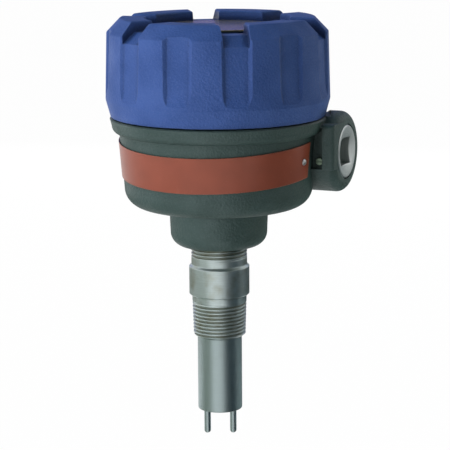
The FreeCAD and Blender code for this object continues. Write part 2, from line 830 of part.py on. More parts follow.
def status_lamp():
    """The domed status lamp with its rim."""
    x, y = lamp_at
    seat = V(x, y, upper_board_top_z)
    bulb = cylinder(lamp_r, lamp_height - lamp_r, seat)
    dome = Part.makeSphere(lamp_r, seat + V(0, 0, lamp_height - lamp_r))
    return bulb.fuse([dome, cylinder(lamp_rim[0], lamp_rim[1], seat)]).removeSplitter()


def pieces():
    """Every piece by its node's name."""
    active, reference = tip_places()
    setpoint, deadband = trimmer_at
    return {
        "housing": housing(),
        "wrap_nameplate": wrap_nameplate(),
        "nameplate_screws": nameplate_screws(),
        "conduit_plug": conduit_plug(),
        "earth_screw": earth_screw(),
        "inner_earth_screw": inner_earth_screw(),
        "probe_fitting": probe_fitting(),
        "probe_tube": probe_tube(),
        "probe_end_cap": probe_end_cap(),
        "tip_potting": tip_potting(),
        "active_tip": tip_sheath(active),
        "reference_tip": tip_sheath(reference),
        "heated_element": tip_element(active),
        "reference_element": tip_element(reference),
        "tip_leads": tip_leads(),
        "lower_board": lower_board(),
        "upper_board": upper_board(),
        "board_spacers": board_spacers(),
        "board_screws": board_screws(),
        "transformer_core": transformer_core(),
        "transformer_coil": transformer_coil(),
        "relay": relay(),
        "capacitors": capacitors(),
        "terminal_block": terminal_block(),
        "terminal_screws": terminal_screws(),
        "setpoint_trimmer": trimmer_body(setpoint),
        "setpoint_rotor": trimmer_rotor(setpoint),
        "deadband_trimmer": trimmer_body(deadband),
        "deadband_rotor": trimmer_rotor(deadband),
        "status_lamp": status_lamp(),
        "cover": cover(),
        "cover_nameplate": cover_nameplate(),
        "cover_seal": cover_seal(),
    }


os.makedirs("parts", exist_ok=True)
for name, shape in pieces().items():
    shape.exportStep("parts/" + name + ".step")
    print(name, len(shape.Solids), shape.isValid(), round(shape.Volume))
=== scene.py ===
"""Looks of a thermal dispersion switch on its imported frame: finishes, threads and a studio."""
import json
import logging
import math
from dataclasses import dataclass, field
from enum import Enum
from typing import Any, Callable, Dict, List, Sequence, Tuple

import bpy
from mathutils import Matrix, Vector

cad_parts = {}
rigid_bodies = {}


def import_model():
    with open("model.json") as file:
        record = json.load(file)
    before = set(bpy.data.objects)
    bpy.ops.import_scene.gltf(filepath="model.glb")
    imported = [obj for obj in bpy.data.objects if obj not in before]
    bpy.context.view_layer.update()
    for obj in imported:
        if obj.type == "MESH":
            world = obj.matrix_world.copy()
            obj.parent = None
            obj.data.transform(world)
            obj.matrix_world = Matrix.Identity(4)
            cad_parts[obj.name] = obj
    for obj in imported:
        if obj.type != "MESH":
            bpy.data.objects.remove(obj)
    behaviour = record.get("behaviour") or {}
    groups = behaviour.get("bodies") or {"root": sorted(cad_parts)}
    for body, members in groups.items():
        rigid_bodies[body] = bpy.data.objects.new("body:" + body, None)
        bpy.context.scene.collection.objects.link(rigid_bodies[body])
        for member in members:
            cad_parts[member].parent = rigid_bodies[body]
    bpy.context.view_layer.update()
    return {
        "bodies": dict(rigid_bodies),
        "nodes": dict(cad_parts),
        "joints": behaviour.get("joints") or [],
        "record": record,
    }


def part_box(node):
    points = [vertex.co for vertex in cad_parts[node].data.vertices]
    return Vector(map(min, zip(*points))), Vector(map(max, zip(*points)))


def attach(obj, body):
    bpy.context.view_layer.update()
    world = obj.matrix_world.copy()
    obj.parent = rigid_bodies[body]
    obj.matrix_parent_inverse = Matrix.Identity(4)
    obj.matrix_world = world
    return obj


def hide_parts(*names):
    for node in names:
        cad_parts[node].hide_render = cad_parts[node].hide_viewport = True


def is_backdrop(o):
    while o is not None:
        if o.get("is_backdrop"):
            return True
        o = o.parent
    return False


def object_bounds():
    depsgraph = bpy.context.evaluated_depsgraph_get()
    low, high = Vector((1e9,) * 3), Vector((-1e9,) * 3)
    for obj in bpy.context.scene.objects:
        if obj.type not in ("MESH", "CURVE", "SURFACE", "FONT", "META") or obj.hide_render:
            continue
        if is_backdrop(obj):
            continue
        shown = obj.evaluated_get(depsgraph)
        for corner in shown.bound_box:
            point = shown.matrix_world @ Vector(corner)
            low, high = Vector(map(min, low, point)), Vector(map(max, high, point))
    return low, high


LOG = logging.getLogger("thermal_switch")
BASE_BODY = "base"

MM = 0.001
PIPE_PITCH = 25.4 / 14 * MM           # 14 threads to the inch
NO_RUNOUT = 1e-6                      # a thread that starts at its full depth
SHARP_EDGE = math.radians(32)

EDGE_ROUND = 0.6 * MM                 # how far every edge is shaded as rounded
EDGE_TURN = (0.01, 0.16)              # 1 less the cosine of the normal's turn, from face to edge
NOISE_MIDDLE = (0.3, 0.7)             # where most of a noise's values lie
WAVES_PER_UNIT = 20 / math.tau        # in Blender's Wave texture at a scale of 1
BEVEL_SAMPLES = 4
OPENNESS_SAMPLES = 6
WHITE = (1.0, 1.0, 1.0, 1.0)
MATT = {"Roughness": 0.9, "Specular_IOR_Level": 0.1}

Colour = Tuple[float, float, float]
Span = Tuple[float, float]
Ring = List[Vector]
Frame = Dict[str, Any]
Socket = bpy.types.NodeSocket


class Turning(str, Enum):
    """The axis that a piece was turned about, which sets the way of its tool marks."""

    UPRIGHT = "Z"
    ALONG_ENTRY = "X"


def darker(colour: Colour, share: float) -> Colour:
    """A colour with only a share of its brightness."""
    return tuple(channel * share for channel in colour)


def put_in_scene(name: str, data: bpy.types.ID) -> bpy.types.Object:
    """Makes an object and links it to the scene.

    Args:
        name: the object's name.
        data: its mesh, light or camera.

    Returns:
        The new object.
    """
    thing = bpy.data.objects.new(name, data)
    bpy.context.scene.collection.objects.link(thing)
    return thing


class Nodes:
    """A tree of shader nodes, with short calls to add and join them."""

    def __init__(self, tree: bpy.types.NodeTree) -> None:
        """Takes up a node tree.

        Args:
            tree: the node tree of a material or of the world.
        """
        self.nodes = tree.nodes
        self.links = tree.links

    def feed(self, socket: Socket, value: Any) -> None:
        """Joins an input to an output, or sets it to a value.

        Args:
            socket: the input.
            value: an output socket or a plain value.
        """
        if isinstance(value, Socket):
            self.links.new(value, socket)
        else:
            socket.default_value = value

    def add(self, kind: str, inputs: Dict[Any, Any], **settings: Any) -> bpy.types.Node:
        """Adds a node.

        Args:
            kind: the node's type name.
            inputs: socket name or number to a value, or to an output socket that feeds it.
            settings: the node's own properties.

        Returns:
            The new node.
        """
        node = self.nodes.new(kind)
        for key, value in settings.items():
            setattr(node, key, value)
        for socket, value in inputs.items():
            self.feed(node.inputs[socket], value)
        return node

    def maths(self, operation: str, first: Any, second: Any) -> Socket:
        """One step of arithmetic.

        Args:
            operation: the Math node's operation.
            first: a number or a socket.
            second: a number or a socket.

        Returns:
            The result.
        """
        return self.add("ShaderNodeMath", {0: first, 1: second}, operation=operation).outputs[0]

    def seen(self) -> Socket:
        """Tells the rays that show something from those that only carry light.

        Returns:
            1 for rays from the camera, a glossy face or a clear piece, and 0 for others.
        """
        path = self.add("ShaderNodeLightPath", {}).outputs
        direct = self.maths("MAXIMUM", path["Is Camera Ray"], path["Is Glossy Ray"])
        return self.maths("MAXIMUM", direct, path["Is Transmission Ray"])

    def show(self, output: str, share: Socket, first: Socket, second: Socket) -> None:
        """Sends a mix of two shaders to the tree's output.

        Args:
            output: the output node's name.
            share: how much of the second shows, from 0 to 1.
            first: a shader.
            second: a shader.
        """
        mixed = self.add("ShaderNodeMixShader", {0: share, 1: first, 2: second}).outputs[0]
        self.feed(self.nodes[output].inputs["Surface"], mixed)


class Tree(Nodes):
    """A material's nodes, round one Principled shader."""

    def __init__(self, name: str) -> None:
        """Starts a material.

        Args:
            name: the material's name.
        """
        self.material = bpy.data.materials.new(name)
        self.material.use_nodes = True
        super().__init__(self.material.node_tree)
        self.shader = self.nodes["Principled BSDF"]
        self.place = self.add("ShaderNodeTexCoord", {}).outputs["Object"]

    def dress(self, **inputs: Any) -> None:
        """Sets the shader's sockets.

        Args:
            inputs: socket name, with _ for a space, to a value or an output socket.
        """
        for key, value in inputs.items():
            self.feed(self.shader.inputs[key.replace("_", " ")], value)

    def noise(self, size: float, detail: float = 3.0,
              stretch: Sequence[float] = (1, 1, 1)) -> Socket:
        """A soft noise.

        Args:
            size: the size of its features, in metres.
            detail: how many finer layers it has.
            stretch: how much longer its features are along each axis.

        Returns:
            The noise's value, about 0.5 on average.
        """
        scale = [1 / (size * longer) for longer in stretch]
        place = self.add("ShaderNodeMapping", {"Vector": self.place, "Scale": scale}).outputs[0]
        return self.add("ShaderNodeTexNoise",
                        {"Vector": place, "Scale": 1.0, "Detail": detail}).outputs["Fac"]

    def spread(self, value: Socket, low: float, high: float,
               out_low: float = 0.0, out_high: float = 1.0) -> Socket:
        """Stretches a range of values over another, and holds it at the ends.

        Args:
            value: the value to stretch.
            low: what becomes out_low.
            high: what becomes out_high.
            out_low: the result at low.
            out_high: the result at high.

        Returns:
            The stretched value.
        """
        return self.add("ShaderNodeMapRange",
                        {0: value, 1: low, 2: high, 3: out_low, 4: out_high}).outputs[0]

    def blend(self, share: Socket, first: Any, second: Any) -> Socket:
        """Mixes two colours.

        Args:
            share: how much of the second shows, from 0 to 1.
            first: a colour or a colour socket.
            second: a colour or a colour socket.

        Returns:
            The mixed colour.
        """
        colours = [c if isinstance(c, Socket) else (*c, 1.0) for c in (first, second)]
        return self.add("ShaderNodeMix", {0: share, 6: colours[0], 7: colours[1]},
                        data_type="RGBA").outputs[2]

    def openness(self, reach: float) -> Socket:
        """Finds hollows, and places close to other pieces.

        Args:
            reach: how far off another face still counts, in metres.

        Returns:
            1 in the open, and less where faces are close.
        """
        return self.add("ShaderNodeAmbientOcclusion", {"Distance": reach},
                        samples=OPENNESS_SAMPLES).outputs["AO"]

    def rounded(self, radius: float) -> Socket:
        """The surface's normal with its edges rounded to a radius in metres."""
        return self.add("ShaderNodeBevel", {"Radius": radius}, samples=BEVEL_SAMPLES).outputs[0]

    def edges(self, reach: float) -> Socket:
        """Finds the piece's edges.

        Args:
            reach: how far an edge reaches, in metres.

        Returns:
            0 on plain faces, rising to 1 at an edge.
        """
        true = self.add("ShaderNodeNewGeometry", {}).outputs["True Normal"]
        facing = self.add("ShaderNodeVectorMath", {0: self.rounded(reach), 1: true},
                          operation="DOT_PRODUCT").outputs["Value"]
        return self.spread(self.maths("SUBTRACT", 1.0, facing), *EDGE_TURN)

    def relief(self, height: Socket, depth: float, strength: float) -> None:
        """Gives the surface a fine relief, over edges that are shaded as a little rounded.

        Args:
            height: the relief, from 0 to 1.
            depth: how deep it goes, in metres.
            strength: how much of it shows.
        """
        bump = self.add("ShaderNodeBump", {"Height": height, "Distance": depth,
                                           "Strength": strength,
                                           "Normal": self.rounded(EDGE_ROUND)})
        self.dress(Normal=bump.outputs[0])


@dataclass(frozen=True)
class Finish:
    """A finish that can be given to pieces. Colours are linear, lengths are in metres."""

    name: str
    colour: Colour

    def paint(self, tree: Tree) -> None:
        """Fills in the material's nodes.

        Args:
            tree: the material's nodes.
        """
        raise NotImplementedError

    def material(self) -> bpy.types.Material:
        """Makes the material once and then gives the same one.

        Returns:
            The finish's material.
        """
        found = bpy.data.materials.get(self.name)
        if found:
            return found
        tree = Tree(self.name)
        self.paint(tree)
        return tree.material


@dataclass(frozen=True)
class TexturedPaint(Finish):
    """Pebbled paint on a casting, rubbed paler along its edges, with painted shade darkening its
    hollows and the places beside other pieces.
    """

    rubbed: Colour
    shaded: Colour
    # painted shade: the share of the shaded colour's brightness that hollows are darkened to
    painted_hollow_shade: float = 0.5
    sheen: float = 0.25
    gloss: Span = (0.45, 0.62)
    pebble: float = 1.2 * MM
    pebble_softness: float = 0.8
    pebble_height: float = 0.8
    grit: float = 0.54 * MM
    grit_height: float = 0.6
    grit_range: Span = (0.50, 0.75)
    grit_share: float = 0.35
    depth: float = 0.28 * MM
    relief: float = 0.9
    patch: float = 14 * MM
    patch_range: Span = (0.35, 0.70)
    # reach and openness range of the painted shade in hollows
    hollow: float = 4 * MM
    hollow_range: Span = (0.84, 0.99)
    edge: float = 0.9 * MM
    wear: float = 5 * MM
    wear_range: Span = (0.35, 0.75)
    wear_share: Span = (0.15, 0.7)

    def paint(self, tree: Tree) -> None:
        """Fills in the material's nodes.

        Args:
            tree: the material's nodes.
        """
        cells = tree.add("ShaderNodeTexVoronoi",
                         {"Vector": tree.place, "Scale": 1 / self.pebble,
                          "Smoothness": self.pebble_softness},
                         feature="SMOOTH_F1").outputs["Distance"]
        fine = tree.noise(self.grit, detail=2.0)
        cloud = tree.noise(self.patch, detail=4.0)
        body = tree.blend(tree.spread(cloud, *self.patch_range), self.colour, self.shaded)
        grains = tree.maths("MULTIPLY", tree.spread(fine, *self.grit_range), self.grit_share)
        body = tree.blend(grains, body, self.rubbed)
        # painted shade: hollows and places close to other faces are darkened towards a darker copy
        # of the shaded colour
        body = tree.blend(tree.spread(tree.openness(self.hollow), *self.hollow_range),
                          darker(self.shaded, self.painted_hollow_shade), body)
        worn = tree.spread(tree.noise(self.wear), *self.wear_range, *self.wear_share)
        rub = tree.maths("MULTIPLY", tree.edges(self.edge), worn)
        tree.dress(Base_Color=tree.blend(rub, body, self.rubbed),
                   Roughness=tree.spread(cloud, *NOISE_MIDDLE, *self.gloss),
                   Specular_IOR_Level=self.sheen)
        height = tree.maths("ADD", tree.maths("MULTIPLY", cells, self.pebble_height),
                            tree.maths("MULTIPLY", fine, self.grit_height))
        tree.relief(height, self.depth, self.relief)


@dataclass(frozen=True)
class TurnedSteel(Finish):
    """Steel with the rings that a lathe tool leaves, stains, painted shade in its hollows, and
    residue beside its joints.
    """

    # colour of the random stains, and also of the painted shade in hollows
    stain_and_shade: Colour
    axis: Turning = Turning.UPRIGHT
    gloss: Span = (0.32, 0.44)
    ring: float = 0.35 * MM
    ring_waver: float = 0.6
    ring_depth: float = 0.012 * MM
    relief: float = 0.3
    band: float = 1.6 * MM
    band_along: float = 0.12
    band_around: float = 6.0
    band_range: Span = (0.4, 0.7)
    band_shade: float = 0.72
    band_height: float = 5.0
    banded: float = 0.42
    patch: float = 7 * MM
    patch_range: Span = (0.48, 0.72)
    stained: float = 0.45
    # reach, openness range and strength of the painted shade in hollows
    hollow: float = 2 * MM
    hollow_range: Span = (0.15, 0.55)
    hollow_share: Span = (0.95, 0.0)
    residue: Colour = (0.27, 0.25, 0.165)
    seep: float = 0.0
    seep_range: Span = (0.40, 0.75)
    seep_share: Span = (0.8, 0.0)
    seep_patch_range: Span = (0.3, 0.6)
    seep_patch_share: Span = (0.5, 1.0)

    def paint(self, tree: Tree) -> None:
        """Fills in the material's nodes.

        Args:
            tree: the material's nodes.
        """
        rings = tree.add("ShaderNodeTexWave",
                         {"Vector": tree.place, "Scale": 1 / WAVES_PER_UNIT / self.ring,
                          "Distortion": self.ring_waver, "Detail": 2.0, "Detail Scale": 3.0},
                         bands_direction=self.axis.value).outputs["Fac"]
        stretch = [self.band_along if axis == self.axis.value else self.band_around
                   for axis in "XYZ"]
        bands = tree.noise(self.band, stretch=stretch)
        cloud = tree.noise(self.patch, detail=5.0)
        body = tree.blend(tree.maths("MULTIPLY", tree.spread(bands, *self.band_range), self.banded),
                          self.colour, darker(self.colour, self.band_shade))
        marks = tree.maths("MULTIPLY", tree.spread(cloud, *self.patch_range), self.stained)
        # painted shade: hollows are darkened towards the stain colour, together with the random
        # stains
        sunk_shade = tree.spread(tree.openness(self.hollow), *self.hollow_range, *self.hollow_share)
        body = tree.blend(tree.maths("MAXIMUM", marks, sunk_shade), body, self.stain_and_shade)
        if self.seep:
            beside = tree.spread(tree.openness(self.seep), *self.seep_range, *self.seep_share)
            uneven = tree.spread(cloud, *self.seep_patch_range, *self.seep_patch_share)
            body = tree.blend(tree.maths("MULTIPLY", beside, uneven), body, self.residue)
        tree.dress(Base_Color=body, Metallic=1.0,
                   Roughness=tree.spread(bands, *NOISE_MIDDLE, *self.gloss))
        swell = tree.maths("MULTIPLY", bands, self.band_height * self.banded)
        tree.relief(tree.maths("ADD", rings, swell), self.ring_depth, self.relief)


@dataclass(frozen=True)
class SatinSheet(Finish):
    """Coloured sheet metal with a rolled grain and a few handling marks."""

    worn: Colour
    metal: float
    gloss: Span = (0.28, 0.42)
    grain: Sequence[float] = (8.0, 8.0, 0.2)
    roll: float = 0.8 * MM
    roll_depth: float = 0.01 * MM
    relief: float = 0.1
    patch: float = 12 * MM
    patch_range: Span = (0.3, 0.75)
    patch_shade: float = 0.82
    scuff: float = 2.2 * MM
    scuff_range: Span = (0.66, 0.80)
    scuff_share: Span = (0.0, 0.15)
    edge: float = 0.5 * MM
    edge_share: float = 0.5

    def paint(self, tree: Tree) -> None:
        """Fills in the material's nodes.

        Args:
            tree: the material's nodes.
        """
        rolled = tree.noise(self.roll, stretch=self.grain)
        cloud = tree.noise(self.patch, detail=4.0)
        scuffs = tree.spread(tree.noise(self.scuff, detail=6.0),
                             *self.scuff_range, *self.scuff_share)
        body = tree.blend(tree.spread(cloud, *self.patch_range),
                          self.colour, darker(self.colour, self.patch_shade))
        wear = tree.maths("MAXIMUM", scuffs,
                          tree.maths("MULTIPLY", tree.edges(self.edge), self.edge_share))
        tree.dress(Base_Color=tree.blend(wear, body, self.worn), Metallic=self.metal,
                   Roughness=tree.spread(rolled, *NOISE_MIDDLE, *self.gloss))
        tree.relief(rolled, self.roll_depth, self.relief)


@dataclass(frozen=True)
class Moulding(Finish):
    """Moulded plastic, rubber, resin or ceramic with a fine skin."""

    gloss: Span = (0.35, 0.5)
    skin: float = 0.4 * MM
    depth: float = 0.012 * MM
    relief: float = 0.5
    patch: float = 6 * MM
    patch_shade: float = 0.78

    def paint(self, tree: Tree) -> None:
        """Fills in the material's nodes.

        Args:
            tree: the material's nodes.
        """
        fine = tree.noise(self.skin)
        cloud = tree.spread(tree.noise(self.patch), *NOISE_MIDDLE)
        tree.dress(Base_Color=tree.blend(cloud, self.colour, darker(self.colour, self.patch_shade)),
                   Roughness=tree.spread(fine, *NOISE_MIDDLE, *self.gloss))
        tree.relief(fine, self.depth, self.relief)


@dataclass(frozen=True)
class Laminate(Finish):
    """Circuit board with covered copper tracks."""

    track: Colour
    gloss: Span = (0.3, 0.45)
    pitch: float = 3.2 * MM
    disorder: float = 0.55
    track_range: Span = (0.05, 0.09)
    track_height: float = 0.03 * MM
    relief: float = 0.5
    patch: float = 1.5 * MM

    def paint(self, tree: Tree) -> None:
        """Fills in the material's nodes.

        Args:
            tree: the material's nodes.
        """
        border = tree.add("ShaderNodeTexVoronoi",
                          {"Vector": tree.place, "Scale": 1 / self.pitch,
                           "Randomness": self.disorder},
                          feature="DISTANCE_TO_EDGE").outputs["Distance"]
        tracks = tree.spread(border, *self.track_range, 1.0, 0.0)
        tree.dress(Base_Color=tree.blend(tracks, self.colour, self.track),
                   Roughness=tree.spread(tree.noise(self.patch), *NOISE_MIDDLE, *self.gloss))
        tree.relief(tracks, self.track_height, self.relief)


class Palette:
    """Every finish on the switch."""

    # The cover's painted shade in hollows goes to half the shaded colour's brightness, the default.
    COVER = TexturedPaint("cover_blue_paint", (0.040, 0.088, 0.272), (0.105, 0.155, 0.345),
                          (0.031, 0.071, 0.225))
    # The housing's painted shade in hollows and beside the cover goes to the full shaded colour.
    HOUSING = TexturedPaint("housing_grey_green_paint", (0.030, 0.058, 0.053),
                            (0.085, 0.124, 0.121), (0.023, 0.046, 0.041), painted_hollow_shade=1.0, sheen=0.6)
    STRIP = SatinSheet("red_strip", (0.255, 0.060, 0.031), (0.42, 0.22, 0.16), metal=0.12,
                       gloss=(0.29, 0.33))
    DISC = SatinSheet("gold_disc", (0.78, 0.61, 0.29), (0.80, 0.70, 0.48), metal=0.9,
                      gloss=(0.14, 0.24), grain=(10.0, 0.2, 10.0))
    PROBE = TurnedSteel("probe_turned_steel", (0.60, 0.69, 0.685), (0.33, 0.34, 0.24),
                        gloss=(0.35, 0.46), stained=0.55, seep=9 * MM)
    BARREL = TurnedSteel("barrel_satin_steel", (0.43, 0.52, 0.525), (0.32, 0.36, 0.33),
                         gloss=(0.38, 0.46), ring=0.2 * MM, banded=0.1, stained=0.2)
    # The plug's dark green stain colour is mostly painted shade, reaching 10 mm, in its dish, its
    # socket and beside the boss.
    PLUG = TurnedSteel("plug_plated_steel", (0.64, 0.67, 0.66), (0.09, 0.16, 0.12),
                       axis=Turning.ALONG_ENTRY, stained=0.12, hollow=10 * MM)
    BRIGHT = TurnedSteel("bright_screws", (0.74, 0.74, 0.72), (0.55, 0.53, 0.48), stained=0.2)
    EARTH = TurnedSteel("green_earth_screw", (0.30, 0.40, 0.30), (0.20, 0.27, 0.20),
                        gloss=(0.45, 0.55), stained=0.4)
    CAN = TurnedSteel("capacitor_can", (0.20, 0.22, 0.32), (0.14, 0.15, 0.20), gloss=(0.3, 0.45))
    SPACER = TurnedSteel("brass_spacer", (0.64, 0.50, 0.24), (0.46, 0.34, 0.15))
    CORE = SatinSheet("core_laminations", (0.20, 0.20, 0.21), (0.34, 0.33, 0.31), metal=0.8,
                      grain=(0.25, 9.0, 9.0))
    RUBBER = Moulding("seal_rubber", (0.018, 0.018, 0.018), gloss=(0.55, 0.7))
    RESIN = Moulding("potting_resin", (0.06, 0.05, 0.05), gloss=(0.2, 0.35), skin=1.2 * MM)
    CERAMIC = Moulding("element_ceramic", (0.80, 0.78, 0.72))
    INSULATION = Moulding("lead_insulation", (0.72, 0.70, 0.64))
    TAPE = Moulding("coil_tape", (0.55, 0.42, 0.12), skin=0.9 * MM)
    BLACK = Moulding("relay_black", (0.03, 0.03, 0.03))
    TERMINAL = Moulding("terminal_green", (0.05, 0.20, 0.10))
    TRIMMER = Moulding("trimmer_blue", (0.05, 0.14, 0.45), gloss=(0.2, 0.3))
    ROTOR = Moulding("rotor_white", (0.85, 0.84, 0.80))
    LAMP = Moulding("lamp_red", (0.60, 0.04, 0.03), gloss=(0.08, 0.14))
    BOARD = Laminate("board_green", (0.03, 0.16, 0.06), (0.08, 0.30, 0.12))


def dress_node(frame: Frame, node: str, finish: Finish) -> None:
    """Gives a CAD node its finish.

    Args:
        frame: the loaded frame.
        node: the node's name.
        finish: what it is given.
    """
    shape = frame["nodes"][node]
    shape.data.materials.clear()
    shape.data.materials.append(finish.material())
    LOG.info("dressed %s in %s", node, finish.name)


def settle(piece: bpy.types.Object, finish: Finish, nodes: Sequence[str] = ()) -> None:
    """Puts a new piece on the base and finishes it.

    Args:
        piece: the new object.
        finish: the finish that it gets.
        nodes: the CAD nodes that it stands for.
    """
    piece.data.materials.append(finish.material())
    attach(piece, BASE_BODY)
    for node in nodes:
        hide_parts(node)
    LOG.info("built %s with %d faces", piece.name, len(piece.data.polygons))


@dataclass(frozen=True)
class Thread:
    """A right-hand screw thread cut into a round length. Metres.

    Crest and root are the shares of half a pitch that are flat at the top and the bottom.
    """

    low: float
    high: float
    pitch: float
    depth: float
    runout: float
    crest: float = 0.28
    root: float = 0.10

    def fade(self, level: float) -> float:
        """The share of the full depth that the runouts leave at a level."""
        return min(1.0, (level - self.low) / self.runout, (self.high - level) / self.runout)

    def cut(self, level: float, angle: float) -> float:
        """How deep the thread is cut at a place.

        Args:
            level: the place along the axis.
            angle: the place round the axis, in radians.

        Returns:
            The depth below the crest.
        """
        if not self.low < level < self.high:
            return 0.0
        turn = level / self.pitch - angle / math.tau
        off_crest = 1 - abs(2 * (turn - math.floor(turn)) - 1)
        share = (off_crest - self.crest) / (1 - self.crest - self.root)
        return self.depth * max(0.0, min(1.0, share)) * self.fade(level)

    def levels(self, per_turn: int) -> List[float]:
        """The levels at which the thread is drawn.

        Args:
            per_turn: how many there are in one pitch.

        Returns:
            The levels from low to high, both ends included.
        """
        count = max(2, math.ceil((self.high - self.low) / self.pitch * per_turn))
        return [self.low + (self.high - self.low) * n / count for n in range(count + 1)]


class Lathe:
    """Builds closed meshes from rings of points about an axis."""

    def __init__(self, segments: int) -> None:
        """Sets how finely rings are divided.

        Args:
            segments: the number of points on a ring.
        """
        self.angles = [math.tau * n / segments for n in range(segments)]

    def ring(self, radius: Callable[[float], float], level: Callable[[float], float]) -> Ring:
        """One ring about Z.

        Args:
            radius: the radius at an angle.
            level: the height at an angle.

        Returns:
            The ring's points.
        """
        return [Vector((radius(a) * math.cos(a), radius(a) * math.sin(a), level(a)))
                for a in self.angles]

    def plain(self, radius: float, level: float) -> Ring:
        """One level circle of a radius."""
        return self.ring(lambda _: radius, lambda _: level)

    def mesh(self, name: str, rings: Sequence[Ring], hollow: bool,
             place: Matrix) -> bpy.types.Object:
        """Skins rings into a closed piece.

        Args:
            name: the piece's name.
            rings: the rings in order, with their points in step.
            hollow: True joins the last ring to the first, and False closes both ends.
            place: moves the piece from the lathe's axis to its own.

        Returns:
            The new object.
        """
        count = len(self.angles)
        points = [place @ point for ring in rings for point in ring]
        faces: List[Tuple[int, ...]] = []
        pairs = len(rings) if hollow else len(rings) - 1
        for row in range(pairs):
            below, above = row * count, (row + 1) % len(rings) * count
            for n in range(count):
                after = (n + 1) % count
                faces.append((below + n, below + after, above + after, above + n))
        if not hollow:
            top = (len(rings) - 1) * count
            faces.append(tuple(reversed(range(count))))
            faces.append(tuple(range(top, top + count)))
        data = bpy.data.meshes.new(name)
        data.from_pydata([tuple(p) for p in points], [], faces)
        data.shade_smooth()
        data.set_sharp_from_angle(angle=SHARP_EDGE)
        data.validate()
        return put_in_scene(name, data)


@dataclass
class Probe:
    """The probe: a threaded fitting, its barrel and the two tips. Metres."""

    frame: Frame
    pitch: float = PIPE_PITCH
    runout: float = 0.6 * PIPE_PITCH
    depth: float = 1.0 * MM
    upper_depth: float = 0.9 * MM
    taper: float = 1 / 32
    relief_length: float = 3.2 * MM
    relief_radius: float = 13.55 * MM
    end_chamfer: float = 0.9 * MM
    collar_height: float = 15.5 * MM
    collar_shoulder: float = 1.15 * MM
    collar_edge: float = 0.6 * MM
    band_radius: float = 13.9 * MM
    band_height: float = 3.45 * MM
    seat_radius: float = 10.63 * MM
    seat_depth: float = 19.0 * MM
    passage_radius: float = 9.4 * MM
    segments: int = 144
    rows: int = 14

    def build(self) -> None:
        """Builds the threaded fitting and finishes the rest."""
        low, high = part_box("probe_fitting")
        lathe = Lathe(self.segments)
        piece = lathe.mesh("threaded_fitting", self.rings(lathe, low, high), True, Matrix())
        settle(piece, Palette.PROBE, ["probe_fitting"])
        for node in ("probe_tube", "probe_end_cap", "active_tip", "reference_tip"):
            dress_node(self.frame, node, Palette.BARREL)
        dress_node(self.frame, "tip_potting", Palette.RESIN)
        for node in ("heated_element", "reference_element"):
            dress_node(self.frame, node, Palette.CERAMIC)
        dress_node(self.frame, "tip_leads", Palette.INSULATION)

    def rings(self, lathe: Lathe, low: Vector, high: Vector) -> List[Ring]:
        """The fitting's rings, up its outside and down its bore.

        Args:
            lathe: the lathe that draws them.
            low: the lowest corner of the CAD fitting.
            high: the highest corner of the CAD fitting.

        Returns:
            The rings, in order.
        """
        collar, edge = high.x, self.collar_edge
        band_top = self.collar_height + self.band_height
        process = Thread(low.z, -self.relief_length, self.pitch, self.depth, self.runout)
        upper = Thread(band_top, high.z, self.pitch, self.upper_depth, self.runout)
        rings = []
        for level in process.levels(self.rows):
            crest = self.relief_radius + (level + self.relief_length) * self.taper
            rings.append(self.cut_ring(lathe, process, level, crest, low.z))
        rings += [lathe.plain(radius, level) for radius, level in (
            (self.relief_radius, 0.0),
            (collar - edge, 0.0),
            (collar, edge),
            (collar, self.collar_height - self.collar_shoulder),
            (self.band_radius, self.collar_height),
            (self.band_radius, band_top - edge))]
        rings += [self.cut_ring(lathe, upper, level, self.band_radius, low.z)
                  for level in upper.levels(self.rows)]
        shoulder = low.z + self.seat_depth
        rings += [lathe.plain(radius, level) for radius, level in (
            (self.passage_radius, high.z),
            (self.passage_radius, shoulder),
            (self.seat_radius, shoulder),
            (self.seat_radius, low.z))]
        return rings

    def cut_ring(self, lathe: Lathe, thread: Thread, level: float, crest: float,
                 end: float) -> Ring:
        """One ring of a threaded length, held inside the chamfer at the fitting's end.

        Args:
            lathe: the lathe that draws it.
            thread: the thread.
            level: the ring's height.
            crest: the crest's radius at that height.
            end: the height of the fitting's lower end.

        Returns:
            The ring's points.
        """
        limit = crest - self.end_chamfer + (level - end)
        return lathe.ring(lambda a: min(limit, crest - thread.cut(level, a)), lambda _: level)


